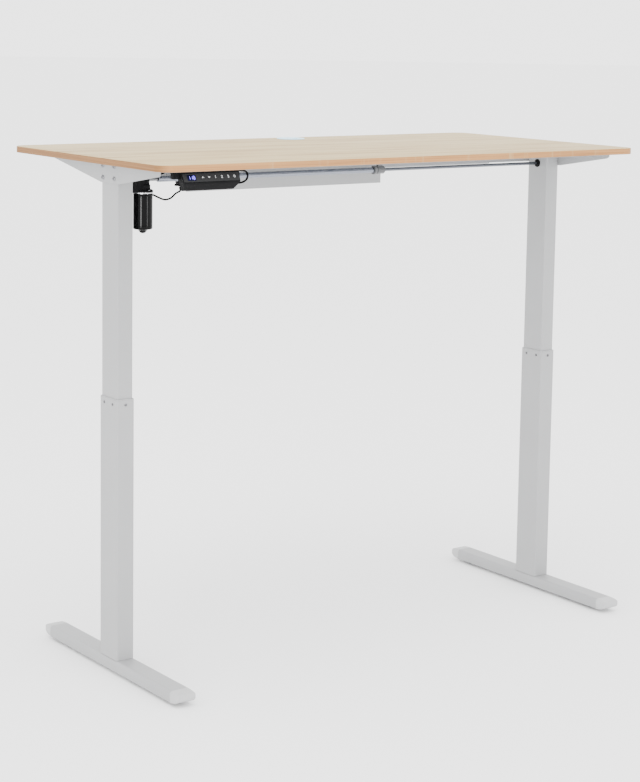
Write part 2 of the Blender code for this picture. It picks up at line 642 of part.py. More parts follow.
def build_cross_shaft():
    """Stub, tube, coupler and rod that turn together, and the pinions at both ends."""
    spot = (0, COLUMN_Y, SHAFT_Z)
    hexagon = circle(SHAFT_ROD_RADIUS, 6)
    start = -COLUMN_X + 0.0072
    stub = prism("stub", hexagon, start, -0.505, "X")
    place(join(stub, [pinion_mesh(-1, 0.0)]), "drive_pinion_shaft", "steel", spot)
    tube = prism("tube", circle(SHAFT_TUBE_RADIUS, SMALL_SIDES), *SHAFT_TUBE, "X",
                 circle(SHAFT_TUBE_BORE, SMALL_SIDES))
    place(tube, "shaft_tube", "powder_grey", spot)
    rod = prism("rod", hexagon, 0.040, COLUMN_X - 0.0072, "X")
    place(rod, "shaft_rod", "steel", spot, smooth=False)

    low, high = COUPLER_X
    bore = SHAFT_ROD_RADIUS + GAP
    profile = [(bore, low), (0.0110, low), (0.0110, low + 0.0060), (0.0080, low + 0.0070),
               (0.0080, low + 0.0095), (0.0100, low + 0.0105), (0.0100, high - 0.0020),
               (0.0085, high), (bore, high)]
    body = lathe("coupler", profile, SMALL_SIDES, "X", closed=True)
    lug = box("lug", (low + 0.0125, -0.0040, 0.0070), (high - 0.0060, 0.0040, 0.0125))
    place(join(body, [lug]), "shaft_coupler", "coupler_grey", spot)

    wheel = prism("wheel", gear_outline(0.0138, 0.0154, WORM_WHEEL_TEETH), -0.0055, 0.0055, "X")
    wheel = cut(wheel, [prism("bore", circle(SHAFT_ROD_RADIUS + GAP, 12), -0.1, 0.1, "X")])
    place(wheel, "worm_wheel", "brass", (MOTOR_X, COLUMN_Y, SHAFT_Z))
    place(pinion_mesh(1, SHAFT_ROD_RADIUS + GAP), "rod_pinion", "steel", spot)

    wall = COLUMN_X - INNER_COLUMN[0] / 2
    bush = [(0.0050, wall - 0.0035), (0.0070, wall - 0.0035), (0.0105, wall - 0.0020),
            (0.0105, wall - GAP), (0.0087, wall - GAP), (0.0087, wall + 0.0040), (0.0050, wall + 0.0040)]
    mesh = lathe("bush", bush, SMALL_SIDES, "X", (COLUMN_Y, SHAFT_Z), closed=True)
    place(mesh, "shaft_bush", "black_plastic")


# ---------------------------------------------------------------- handset

def panel_frame():
    """Location, tilt and length of the handset's sloping face."""
    top = Vector((0, *HANDSET_PANEL_TOP))
    nose = Vector((0, *HANDSET_NOSE))
    down = nose - top
    tilt = math.atan2(-down.y, -down.z)
    return top, tilt, down.length


def build_handset():
    low_x, high_x = HANDSET_X
    top_y, top_z = HANDSET_PANEL_TOP
    nose_y, nose_z = HANDSET_NOSE
    ceiling = UNDERSIDE - GAP
    back = top_y + 0.016
    section = [(back, ceiling), (top_y, ceiling), (top_y, top_z), (nose_y, nose_z),
               (nose_y + 0.0008, nose_z - 0.0030), (nose_y + 0.0140, 1.1425), (back - 0.002, 1.1410),
               (back, 1.1440)]

    def slanted(x, sign):
        """Section whose lower corner is cut back at the body's end."""
        return [(x - sign * max(0.0, nose_z + 0.007 - z) * 0.55, y, z) for y, z in section]

    shape = bmesh.new()
    rings = []
    for x, sign in ((low_x, -1), (high_x, 1)):
        rings.append([shape.verts.new(point) for point in slanted(x, sign)])
    count = len(section)
    for i in range(count):
        j = (i + 1) % count
        shape.faces.new((rings[0][i], rings[0][j], rings[1][j], rings[1][i]))
    shape.faces.new(rings[0][::-1])
    shape.faces.new(rings[1])
    body = finish_mesh(shape, "handset")
    plate = box("plate", (low_x - 0.020, top_y - 0.0020, ceiling - 0.0030),
                (high_x + 0.006, top_y + 0.029, ceiling))
    ear = box("ear", (low_x - 0.014, top_y + 0.0020, ceiling - 0.0165),
              (low_x + 0.004, top_y + 0.0140, ceiling))
    bevelled(place(join(body, [plate, ear]), "handset_body", "black_plastic"), 0.0008, 1, 30)

    top, tilt, length = panel_frame()
    turn = (-tilt, 0, 0)
    panel = box("panel", (low_x + 0.005, -0.0018, 0.0022 - length), (high_x - 0.004, -GAP, -0.0012))
    middle = -length / 2 + 0.0005
    window = box("window", (-0.6300, -0.0100, middle - 0.0072), (-0.6075, -0.0014, middle + 0.0072))
    tools = [window]
    for index in range(len(BUTTON_NAMES)):
        x = BUTTON_FIRST_X + index * BUTTON_PITCH
        outline = rounded_rectangle(0.0120, 0.0120, 0.0030, 2, (middle, x))
        tools.append(prism("hole", outline, -0.01, 0.01, "Y"))
    place(cut(panel, tools), "handset_panel", "button_grey", top, turn, smooth=False)
    rotation = Matrix.Rotation(-tilt, 3, "X")
    for index, label in enumerate(BUTTON_NAMES):
        outline = rounded_rectangle(0.0114, 0.0114, 0.0027, 2)
        mesh = prism("button", outline, -0.0010, 0.0, "Y")
        offset = rotation @ Vector((BUTTON_FIRST_X + index * BUTTON_PITCH, -0.0009, middle))
        place(mesh, "button_" + label, "button_grey", top + offset, turn)


# ---------------------------------------------------------------- leads

def smooth_route(points, spacing):
    """Points every `spacing` along a Catmull-Rom curve through the route's points."""
    ends = [2 * Vector(points[0]) - Vector(points[1]), 2 * Vector(points[-1]) - Vector(points[-2])]
    guide = [ends[0], *[Vector(point) for point in points], ends[1]]
    fine = []
    for a, b, c, d in zip(guide, guide[1:], guide[2:], guide[3:]):
        for step in range(40):
            t = step / 40
            fine.append(0.5 * (2 * b + (c - a) * t + (2 * a - 5 * b + 4 * c - d) * t ** 2
                               + (3 * b - a - 3 * c + d) * t ** 3))
    fine.append(guide[-2])
    total = sum((q - p).length for p, q in zip(fine, fine[1:]))
    count = max(2, round(total / spacing))
    result = [fine[0]]
    walked = 0.0
    for p, q in zip(fine, fine[1:]):
        step = (q - p).length
        while len(result) < count and walked + step >= total * len(result) / count:
            share = (total * len(result) / count - walked) / step
            result.append(p.lerp(q, share))
        walked += step
    result.append(fine[-1])
    return result


def build_lead(name, route, diameter):
    curve = bpy.data.curves.new(name, "CURVE")
    curve.dimensions = "3D"
    curve.bevel_depth = diameter / 2
    curve.bevel_resolution = 2
    curve.use_fill_caps = True
    points = smooth_route(route, LEAD_SPACING)
    line = curve.splines.new("POLY")
    line.points.add(len(points) - 1)
    for target, point in zip(line.points, points):
        target.co = (*point, 1.0)
    node = bpy.data.objects.new(name, curve)
    bpy.context.scene.collection.objects.link(node)
    curve.materials.append(material(name + "_material", *PALETTE["rubber"]))


LEAD_SPACING = 0.0095
MOTOR_LEAD = [(-0.5776, -0.0700, 1.1540), (-0.5680, -0.0702, 1.1541), (-0.5560, -0.0760, 1.1560),
              (-0.5420, -0.0820, 1.1615), (-0.5250, -0.0840, 1.1680), (-0.5000, -0.0800, 1.1710),
              (-0.4770, -0.0620, 1.1690), (-0.4650, -0.0400, 1.1600), (-0.4590, -0.0200, 1.1440),
              (-0.4550, -0.0010, 1.1330), (-0.4480, 0.0120, 1.1285), (-0.4350, 0.0190, 1.1265),
              (-0.4000, 0.0290, 1.1215), (-0.3750, 0.0340, 1.1200), (-0.3204, 0.0350, 1.1200)]
SIGNAL_LEAD = [(-0.5668, -0.0735, 1.1110), (-0.5610, -0.0735, 1.1102), (-0.5480, -0.0750, 1.1040),
               (-0.5330, -0.0760, 1.0990), (-0.5160, -0.0740, 1.1020), (-0.4950, -0.0600, 1.1100),
               (-0.4700, -0.0380, 1.1130), (-0.4530, -0.0120, 1.1150), (-0.4450, 0.0030, 1.1170),
               (-0.4350, 0.0105, 1.1170), (-0.4050, 0.0190, 1.1140), (-0.3750, 0.0245, 1.1150),
               (-0.3204, 0.0250, 1.1150)]
HANDSET_LEAD = [(-0.4857, -0.3080, 1.1818), (-0.4760, -0.3080, 1.1814), (-0.4650, -0.3078, 1.1780),
                (-0.4600, -0.3070, 1.1690), (-0.4630, -0.3050, 1.1590), (-0.4740, -0.2990, 1.1530),
                (-0.4720, -0.2700, 1.1520), (-0.4680, -0.2300, 1.1550), (-0.4600, -0.1800, 1.1570),
                (-0.4500, -0.1300, 1.1550), (-0.4420, -0.0900, 1.1420), (-0.4380, -0.0550, 1.1305),
                (-0.4400, -0.0300, 1.1260), (-0.4445, -0.0128, 1.1225), (-0.4465, 0.0080, 1.1220),
                (-0.4455, 0.0230, 1.1215), (-0.4330, 0.0340, 1.1225), (-0.4050, 0.0420, 1.1240),
                (-0.3760, 0.0480, 1.1240), (-0.3204, 0.0490, 1.1240)]


def build_leads():
    build_lead("motor_power_lead", MOTOR_LEAD, 0.0060)
    build_lead("motor_signal_lead", SIGNAL_LEAD, 0.0044)
    build_lead("handset_lead", HANDSET_LEAD, 0.0044)


def build():
    clear_scene()
    build_worktop()
    for name, side in (("left", -1), ("right", 1)):
        build_foot(name, side)
        build_column(name, side)
        build_bracket(name, side)
    build_beam()
    build_tray()
    build_control_box()
    build_drive()
    build_cross_shaft()
    build_handset()
    build_leads()


build()
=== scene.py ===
"""Looks of the height adjustable standing desk: materials, fine pieces, floor, light and camera.

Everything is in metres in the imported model's frame: +X along the desk, -Y towards the user, +Z up.
"""

import json
import math

import bmesh
import bpy
from mathutils import Matrix, Vector


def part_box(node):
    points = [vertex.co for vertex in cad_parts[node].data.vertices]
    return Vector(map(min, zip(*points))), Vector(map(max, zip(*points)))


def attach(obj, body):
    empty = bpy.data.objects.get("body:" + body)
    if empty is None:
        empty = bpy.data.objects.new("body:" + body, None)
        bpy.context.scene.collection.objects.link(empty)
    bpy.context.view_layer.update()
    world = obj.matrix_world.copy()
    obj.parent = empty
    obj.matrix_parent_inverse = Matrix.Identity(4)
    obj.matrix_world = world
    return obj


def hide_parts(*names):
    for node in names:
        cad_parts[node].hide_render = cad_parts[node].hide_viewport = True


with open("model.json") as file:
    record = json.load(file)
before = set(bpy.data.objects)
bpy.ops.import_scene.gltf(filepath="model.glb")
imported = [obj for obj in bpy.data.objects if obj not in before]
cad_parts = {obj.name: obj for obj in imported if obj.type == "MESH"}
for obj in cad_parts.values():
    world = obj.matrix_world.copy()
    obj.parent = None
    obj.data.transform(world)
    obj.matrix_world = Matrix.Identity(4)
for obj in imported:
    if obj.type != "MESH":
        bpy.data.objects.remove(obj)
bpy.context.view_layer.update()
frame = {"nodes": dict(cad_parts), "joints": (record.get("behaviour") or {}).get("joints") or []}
nodes = frame["nodes"]

MM = 0.001
WAVE_PERIOD = math.pi / 10         # scale at which a wave texture has one band per unit

# ---------------------------------------------------------------- camera, light and floor

CAMERA_PLACE = (-2.8676, -3.9441, 1.5270)
CAMERA_YAW = math.radians(54.353)      # from +X towards +Y
CAMERA_PITCH = math.radians(-7.507)
CAMERA_ROLL = math.radians(0.856)
CAMERA_LENS = 91.0
CAMERA_SHIFT_Y = -0.150

SURROUND = 3.24                        # brightness of the studio around the desk
MOTOR_AIM = (-0.59, -0.07, 1.07)       # the two low lights give the motor can its bright strips
TOP_AIM = (0, 0, 1.0)
LIGHTS = (                             # name, place, aim, width and height, watts
    ("key", (-4.5, -3.2, 0.65), MOTOR_AIM, (0.8, 0.8), 125),
    ("fill", (1.6, -5.0, 0.65), MOTOR_AIM, (0.45, 0.8), 40),
    ("overhead", (-0.6, -0.8, 4.6), TOP_AIM, (2.5, 2.5), 80))


def add_camera():
    forward = Vector((math.cos(CAMERA_YAW) * math.cos(CAMERA_PITCH),
                      math.sin(CAMERA_YAW) * math.cos(CAMERA_PITCH), math.sin(CAMERA_PITCH)))
    level = Vector((math.sin(CAMERA_YAW), -math.cos(CAMERA_YAW), 0))
    above = level.cross(forward)
    right = math.cos(CAMERA_ROLL) * level + math.sin(CAMERA_ROLL) * above
    up = -math.sin(CAMERA_ROLL) * level + math.cos(CAMERA_ROLL) * above
    lens = bpy.data.cameras.new("camera")
    lens.lens = CAMERA_LENS
    lens.shift_y = CAMERA_SHIFT_Y
    lens.clip_end = 200
    camera = bpy.data.objects.new("camera", lens)
    turn = Matrix((right, up, -forward)).transposed().to_4x4()
    camera.matrix_world = Matrix.Translation(CAMERA_PLACE) @ turn
    bpy.context.scene.collection.objects.link(camera)
    bpy.context.scene.camera = camera


def add_area_light(name, place, aim, size, power):
    light = bpy.data.lights.new(name, "AREA")
    light.shape = "RECTANGLE"
    light.size, light.size_y = size
    light.energy = power
    lamp = bpy.data.objects.new(name, light)
    lamp.location = place
    direction = Vector(aim) - Vector(place)
    lamp.rotation_euler = direction.to_track_quat("-Z", "Y").to_euler()
    bpy.context.scene.collection.objects.link(lamp)


def add_world():
    world = bpy.data.worlds.new("studio")
    world.use_nodes = True
    background = world.node_tree.nodes["Background"]
    background.inputs["Color"].default_value = (1, 1, 1, 1)
    background.inputs["Strength"].default_value = SURROUND
    bpy.context.scene.world = world


def add_floor():
    shape = bmesh.new()
    bmesh.ops.create_circle(shape, cap_ends=True, radius=60, segments=96)
    mesh = bpy.data.meshes.new("floor")
    shape.to_mesh(mesh)
    shape.free()
    floor = bpy.data.objects.new("floor", mesh)
    floor.location.z = -0.2 * MM
    bpy.context.scene.collection.objects.link(floor)
    made = Graph("floor_paint")
    grain = made.noise(made.place(), 260, 3)
    made.link(made.ramp(grain, ((0.3, (0.93, 0.93, 0.93)), (0.7, (0.95, 0.95, 0.95)))), "Base Color")
    made.shader.inputs["Roughness"].default_value = 0.9
    made.shader.inputs["Specular IOR Level"].default_value = 0.0
    mesh.materials.append(made.material)


# ---------------------------------------------------------------- node graphs

class Graph:
    """Short calls that build one material's nodes around its Principled shader."""

    def __init__(self, name):
        self.material = bpy.data.materials.new(name)
        self.material.use_nodes = True
        self.tree = self.material.node_tree
        self.shader = self.tree.nodes["Principled BSDF"]

    def node(self, kind, **values):
        made = self.tree.nodes.new("ShaderNode" + kind)
        for key, value in values.items():
            setattr(made, key, value)
        return made

    def feed(self, socket, value):
        """Links an output to a socket, or sets the socket to a plain value."""
        if isinstance(value, bpy.types.NodeSocket):
            self.tree.links.new(value, socket)
        else:
            socket.default_value = value

    def link(self, output, name):
        self.tree.links.new(output, self.shader.inputs[name])

    def place(self, scale=(1, 1, 1), shift=(0, 0, 0)):
        """Position in the desk's frame, stretched by scale."""
        mapping = self.node("Mapping")
        mapping.inputs["Scale"].default_value = scale
        mapping.inputs["Location"].default_value = shift
        self.feed(mapping.inputs["Vector"], self.node("TexCoord").outputs["Object"])
        return mapping.outputs[0]

    def noise(self, vector, scale, detail=2.0, roughness=0.5):
        made = self.node("TexNoise")
        made.inputs["Scale"].default_value = scale
        made.inputs["Detail"].default_value = detail
        made.inputs["Roughness"].default_value = roughness
        self.feed(made.inputs["Vector"], vector)
        return made.outputs["Fac"]

    def wave(self, vector, scale, profile="SIN"):
        made = self.node("TexWave", wave_type="BANDS", bands_direction="Z", wave_profile=profile)
        made.inputs["Scale"].default_value = scale
        self.feed(made.inputs["Vector"], vector)
        return made.outputs["Fac"]

    def ramp(self, value, stops):
        made = self.node("ValToRGB")
        band = made.color_ramp
        while len(band.elements) < len(stops):
            band.elements.new(0.5)
        for element, (place, colour) in zip(band.elements, stops):
            element.position = place
            element.color = (*colour, 1) if len(colour) == 3 else colour
        self.feed(made.inputs["Fac"], value)
        return made.outputs["Color"]

    def span(self, value, low, high, new_low, new_high):
        """Maps the stretch low..high to new_low..new_high, and holds the ends."""
        made = self.node("MapRange")
        self.feed(made.inputs["Value"], value)
        limits = (("From Min", low), ("From Max", high), ("To Min", new_low), ("To Max", new_high))
        for name, number in limits:
            made.inputs[name].default_value = number
        return made.outputs["Result"]

    def mix(self, share, first, second, blend="MIX"):
        made = self.node("Mix", data_type="RGBA", blend_type=blend)
        self.feed(made.inputs["Factor"], share)
        colour_sockets = [s for s in made.inputs if s.type == "RGBA"]
        for socket, value in zip(colour_sockets, (first, second)):
            self.feed(socket, value if isinstance(value, bpy.types.NodeSocket) else (*value, 1))
        return [s for s in made.outputs if s.type == "RGBA"][0]

    def maths(self, operation, first, second=0.0):
        made = self.node("Math", operation=operation)
        self.feed(made.inputs[0], first)
        self.feed(made.inputs[1], second)
        return made.outputs[0]

    def bump(self, height, strength, distance):
        made = self.node("Bump")
        made.inputs["Strength"].default_value = strength
        made.inputs["Distance"].default_value = distance
        self.feed(made.inputs["Height"], height)
        self.link(made.outputs["Normal"], "Normal")

    def constants(self, **values):
        for name, value in values.items():
            self.shader.inputs[name.replace("_", " ")].default_value = value


# ---------------------------------------------------------------- materials

OAK_LIGHT = (0.455, 0.350, 0.172)
OAK_MID = (0.390, 0.285, 0.126)
OAK_DARK = (0.270, 0.180, 0.074)
BAND_LIGHT = (0.400, 0.205, 0.080)
BAND_DARK = (0.285, 0.135, 0.050)
END_BAND_PAINTED_SHADE = 0.60                  # painted shade: the tape on faces turned along X (the short ends) is darkened by this share
BACKING_FOIL = (0.300, 0.305, 0.315)   # grey foil on the worktop's underside


def oak_laminate():
    """Printed oak on top, grain along X, warmer tape round the edge with painted shade darkening the tape
    on the short ends, and grey foil underneath.
    """
    made = Graph("oak_laminate")
    broad = made.noise(made.place((0.7, 9, 9)), 3.0, 4, 0.6)
    streak = made.noise(made.place((1.1, 60, 60), (3, 0, 0)), 2.4, 5, 0.65)
    pores = made.noise(made.place((6, 420, 420), (0, 7, 0)), 3.0, 2, 0.5)
    tone = made.maths("ADD", made.maths("MULTIPLY", broad, 0.45), made.maths("MULTIPLY", streak, 0.55))
    face = made.ramp(tone, ((0.38, OAK_DARK), (0.47, OAK_MID), (0.57, OAK_LIGHT)))
    pore_mask = made.span(pores, 0.60, 0.72, 0.0, 0.35)
    face = made.mix(pore_mask, face, OAK_DARK)

    band_streak = made.noise(made.place((1.5, 1.5, 190), (0, 0, 5)), 2.0, 4, 0.6)
    band = made.ramp(band_streak, ((0.35, BAND_DARK), (0.62, BAND_LIGHT)))
    glow = made.noise(made.place((70, 70, 2)), 1.0, 2, 0.5)
    band = made.mix(made.span(glow, 0.60, 0.72, 0.0, 0.35), band, OAK_LIGHT)

    facing = made.node("SeparateXYZ")
    made.feed(facing.inputs[0], made.node("TexCoord").outputs["Normal"])
    upright = made.maths("ABSOLUTE", facing.outputs["Z"])
    # painted shade: edge faces turned along X take a darker copy of the tape colour
    painted_end_shade_mask = made.span(made.maths("ABSOLUTE", facing.outputs["X"]), 0.35, 0.95, 0.0, 1.0)
    painted_end_shade_light = tuple(channel * END_BAND_PAINTED_SHADE for channel in BAND_LIGHT)
    painted_end_shade_band = made.ramp(band_streak, ((0.35, tuple(c * END_BAND_PAINTED_SHADE for c in BAND_DARK)), (0.62, painted_end_shade_light)))
    band = made.mix(painted_end_shade_mask, band, painted_end_shade_band)
    colour = made.mix(made.span(upright, 0.55, 0.75, 0.0, 1.0), band, face)
    underside = made.span(facing.outputs["Z"], -0.75, -0.55, 1.0, 0.0)
    made.link(made.mix(underside, colour, BACKING_FOIL), "Base Color")
    made.link(made.span(streak, 0.3, 0.7, 0.52, 0.42), "Roughness")
    made.bump(made.maths("SUBTRACT", made.maths("MULTIPLY", streak, 0.35), pore_mask), 0.25, 0.15 * MM)
    made.constants(Specular_IOR_Level=0.10)
    return made.material


def powder_coat(name, colour, roughness=0.48, texture=0.20):
    """Sprayed powder paint: fine orange peel, faint clouding, slightly uneven gloss."""
    made = Graph(name)
    cloud = made.noise(made.place(), 7, 3)
    dark = tuple(channel * 0.965 for channel in colour)
    made.link(made.ramp(cloud, ((0.35, dark), (0.65, colour))), "Base Color")
    peel = made.noise(made.place(), 1500, 2, 0.6)
    made.link(made.span(peel, 0.3, 0.7, roughness - 0.05, roughness + 0.05), "Roughness")
    made.bump(peel, texture, 0.05 * MM)
    made.constants(Specular_IOR_Level=0.5)
    return made.material


def moulded(name, colour, roughness, grain=2600, texture=0.25, specular=0.5):
    """Moulded plastic with a spark-eroded texture and faint flow marks."""
    made = Graph(name)
    flow = made.noise(made.place((3, 3, 9)), 6, 3)
    lift = tuple(min(1.0, channel * 1.12 + 0.001) for channel in colour)
    made.link(made.ramp(flow, ((0.3, colour), (0.7, lift))), "Base Color")
    grain_noise = made.noise(made.place(), grain, 2, 0.6)
    made.link(made.span(grain_noise, 0.3, 0.7, roughness - 0.06, roughness + 0.06), "Roughness")
    made.bump(grain_noise, texture, 0.04 * MM)
    made.constants(Specular_IOR_Level=specular)
    return made.material


def metal(name, colour, roughness, stretch):
    """Drawn or turned metal: fine lines across the stretched direction."""
    made = Graph(name)
    lines = made.noise(made.place(stretch), 900, 3, 0.7)
    dark = tuple(channel * 0.82 for channel in colour)
    made.link(made.ramp(lines, ((0.3, dark), (0.7, colour))), "Base Color")
    made.link(made.span(lines, 0.3, 0.7, roughness - 0.07, roughness + 0.09), "Roughness")
    made.bump(lines, 0.12, 0.03 * MM)
    made.constants(Metallic=1.0)
    return made.material


def threaded(name, colour, pitch):
    """Rolled thread on a lead screw, as ridges one pitch apart, with painted shade darkening the grooves
    between them.
    """
    made = Graph(name)
    ridge = made.wave(made.place((0, 0, 1 / pitch)), WAVE_PERIOD)
    # painted shade: the grooves between the ridges are coloured darker than the ridges
    made.link(made.ramp(ridge, ((0.2, tuple(c * 0.35 for c in colour)), (0.7, colour))), "Base Color")
    made.link(made.span(made.noise(made.place(), 700, 3), 0.3, 0.7, 0.25, 0.42), "Roughness")
    made.bump(ridge, 0.9, 0.6 * MM)
    made.constants(Metallic=1.0)
    return made.material


def enamel(name, colour):
    """Glossy black enamel with the soft waviness of a drawn can."""
    made = Graph(name)
    waviness = made.noise(made.place((1, 1, 0.25)), 160, 2)
    speck = made.noise(made.place(), 2200, 2)
    lifted = tuple(c * 1.8 + 0.001 for c in colour)
    made.link(made.ramp(speck, ((0.35, colour), (0.75, lifted))), "Base Color")
    made.link(made.span(speck, 0.3, 0.7, 0.10, 0.17), "Roughness")
    made.bump(waviness, 0.06, 0.05 * MM)
    made.constants(Specular_IOR_Level=0.08)
    return made.material


def rubber(name, colour, roughness=0.62):
    made = Graph(name)
    dust = made.noise(made.place(), 420, 4, 0.7)
    grey = tuple(channel + 0.003 for channel in colour)
    made.link(made.ramp(dust, ((0.45, colour), (0.80, grey))), "Base Color")
    made.link(made.span(dust, 0.3, 0.7, roughness - 0.08, roughness + 0.12), "Roughness")
    made.bump(made.noise(made.place(), 1800, 2), 0.3, 0.05 * MM)
    made.constants(Specular_IOR_Level=0.015)
    return made.material


def glowing(name, colour, strength):
    """Lit display segment, a little uneven as a diffused lamp is."""
    made = Graph(name)
    patch = made.noise(made.place(), 900, 2)
    made.link(made.ramp(patch, ((0.3, tuple(c * 0.85 for c in colour)), (0.7, colour))), "Emission Color")
    made.constants(Emission_Strength=strength)
    made.shader.inputs["Base Color"].default_value = (*colour, 1)
    made.shader.inputs["Roughness"].default_value = 0.4
    return made.material


def printed(name, colour):
    """White print on the key caps."""
    made = Graph(name)
    ink = made.noise(made.place(), 1400, 3)
    made.link(made.ramp(ink, ((0.35, tuple(c * 0.90 for c in colour)), (0.65, colour))), "Base Color")
    made.link(made.span(ink, 0.3, 0.7, 0.40, 0.55), "Roughness")
    return made.material


def sleeve_material(name, column_node):
    """Grey plastic inside the column's outline, zinc on the screw heads that stand outside it."""
    low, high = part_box(column_node)
    middle, half = (low + high) / 2, (high - low) / 2
    made = Graph(name)
    place = made.node("SeparateXYZ")
    made.feed(place.inputs[0], made.place())
    outside = []
    for axis, centre, reach in (("X", middle.x, half.x), ("Y", middle.y, half.y)):
        offset = made.maths("ABSOLUTE", made.maths("SUBTRACT", place.outputs[axis], centre))
        outside.append(made.maths("GREATER_THAN", offset, reach + 0.1 * MM))
    head = made.maths("MAXIMUM", *outside)
    grain = made.noise(made.place(), 2200, 2)
    plastic = made.ramp(grain, ((0.3, (0.31, 0.312, 0.315)), (0.7, (0.34, 0.342, 0.345))))
    made.link(made.mix(head, plastic, (0.12, 0.12, 0.125)), "Base Color")
    made.link(made.span(head, 0, 1, 0.52, 0.32), "Roughness")
    made.link(made.span(head, 0, 1, 0.0, 1.0), "Metallic")
    made.bump(grain, 0.2, 0.04 * MM)
    return made.material


def make_materials():
    grey = (0.285, 0.287, 0.290)
    return {
        "oak": oak_laminate(),
        "powder": powder_coat("powder_coat", grey),
        "cap": moulded("foot_cap_plastic", (0.355, 0.357, 0.360), 0.46),
        "tube": metal("shaft_plating", (0.235, 0.250, 0.290), 0.24, (0.05, 1, 1)),
        "grommet": moulded("grommet_plastic", (0.42, 0.66, 0.80), 0.38),
        "coupler": moulded("coupler_plastic", (0.080, 0.081, 0.084), 0.42),
        "black": moulded("black_plastic", (0.0060, 0.0060, 0.0064), 0.50, specular=0.02),
        "panel": moulded("panel_plastic", (0.0190, 0.0190, 0.0195), 0.45, 3000, 0.12, 0.03),
        "window": moulded("display_window", (0.003, 0.004, 0.030), 0.15, 3000, 0.04, 0.06),
        "digits": glowing("display_digits", (0.22, 0.16, 1.0), 3.5),
        "print": printed("key_print", (0.50, 0.50, 0.50)),
        "motor": enamel("motor_enamel", (0.0012, 0.0012, 0.0013)),
        "silver": metal("turned_steel", (0.50, 0.50, 0.51), 0.24, (0.05, 0.05, 1)),
        "rod": metal("drawn_rod", (0.150, 0.160, 0.180), 0.34, (0.03, 1, 1)),
        "steel": metal("gear_steel", (0.24, 0.24, 0.25), 0.34, (1, 1, 0.1)),
        "zinc": metal("zinc_plate", (0.22, 0.22, 0.23), 0.30, (1, 1, 1)),
        "brass": metal("bronze", (0.42, 0.25, 0.09), 0.36, (1, 1, 0.1)),
        "thread": threaded("lead_screw_thread", (0.27, 0.27, 0.28), 8 * MM),
        "rubber": rubber("glide_rubber", (0.004, 0.004, 0.004)),
        "sheath": rubber("lead_sheath", (0.0015, 0.0015, 0.0015), 0.55),
    }


CAD_FINISH = {
    "powder": ("foot", "outer_column", "inner_column", "bracket", "beam_rail", "beam_sleeve", "cable_tray"),
    "cap": ("foot_cap_front", "foot_cap_rear"),
    "tube": ("shaft_tube",),
    "coupler": ("shaft_coupler",),
    "black": ("control_box", "drive_gearbox", "shaft_bush", "handset_body"),
    "panel": ("handset_panel", "button_up", "button_down", "button_memory_1", "button_memory_2",
              "button_memory_3", "button_reminder"),
    "silver": ("motor_flange",),
    "rod": ("shaft_rod",),
    "steel": ("screw_gear", "rod_pinion", "drive_pinion_shaft", "worm"),
    "zinc": ("nut_tube", "screw_bearing"),
    "brass": ("lead_nut", "worm_wheel"),
    "thread": ("lead_screw",),
    "rubber": ("glide_front", "glide_rear"),
}


def finish_cad_nodes(materials):
    """Gives each CAD node that stays visible its material."""
    for key, names in CAD_FINISH.items():
        for name in names:
            for full in (name, "left_" + name, "right_" + name):
                if full in nodes:
                    set_material(nodes[full], materials[key])
    for side in ("left", "right"):
        made = sleeve_material(side + "_guide_material", side + "_outer_column")
        set_material(nodes[side + "_guide_sleeve"], made)


def set_material(item, made):
    item.data.materials.clear()
    item.data.materials.append(made)


# ---------------------------------------------------------------- mesh helpers

def circle(radius, sides, centre=(0.0, 0.0)):
    points = []
    for side in range(sides):
        angle = 2 * math.pi * side / sides
        points.append((centre[0] + radius * math.cos(angle), centre[1] + radius * math.sin(angle)))
    return points


def hexagon(apothem, sides, centre=(0.0, 0.0)):
    """Hexagon drawn with as many points as the circles that it joins."""
    points = []
    for side in range(sides):
        angle = 2 * math.pi * side / sides
        within = (angle + math.pi / 6) % (math.pi / 3) - math.pi / 6
        reach = apothem / math.cos(within)
        points.append((centre[0] + reach * math.cos(angle), centre[1] + reach * math.sin(angle)))
    return points


def rounded_rectangle(size_u, size_v, radius, steps, centre=(0.0, 0.0)):
    outline = []
    for sign_u, sign_v, start in ((1, 1, 0), (-1, 1, 90), (-1, -1, 180), (1, -1, 270)):
        mid_u = centre[0] + sign_u * (size_u / 2 - radius)
        mid_v = centre[1] + sign_v * (size_v / 2 - radius)
        for step in range(steps + 1):
            angle = math.radians(start + 90 * step / steps)
            outline.append((mid_u + radius * math.cos(angle), mid_v + radius * math.sin(angle)))
    return outline


def to_axis(axis, u, v, w):
    return {"X": (w, u, v), "Y": (v, w, u), "Z": (u, v, w)}[axis]


def loft(name, sections, axis="Z", closed=False):
    """Mesh through (height, outline) sections, capped at both ends or closed on itself."""
    shape = bmesh.new()
    rings = []
    for w, outline in sections:
        rings.append([shape.verts.new(to_axis(axis, u, v, w)) for u, v in outline])
    pairs = list(zip(rings, rings[1:]))
    if closed:
        pairs.append((rings[-1], rings[0]))
    else:
        shape.faces.new(rings[0][::-1])
        shape.faces.new(rings[-1])
    for lower, upper in pairs:
        for i in range(len(lower)):
            j = (i + 1) % len(lower)
            shape.faces.new((lower[i], lower[j], upper[j], upper[i]))
    bmesh.ops.recalc_face_normals(shape, faces=shape.faces)
    mesh = bpy.data.meshes.new(name)
    shape.to_mesh(mesh)
    shape.free()
    return mesh


def turned(name, profile, sides, axis="Z", centre=(0.0, 0.0), closed=False):
    return loft(name, [(w, circle(radius, sides, centre)) for radius, w in profile], axis, closed)


def joined(name, meshes):
    """One mesh that holds several separate bodies."""
    shape = bmesh.new()
    for mesh in meshes:
        shape.from_mesh(mesh)
    result = bpy.data.meshes.new(name)
    shape.to_mesh(result)
    shape.free()
    return result


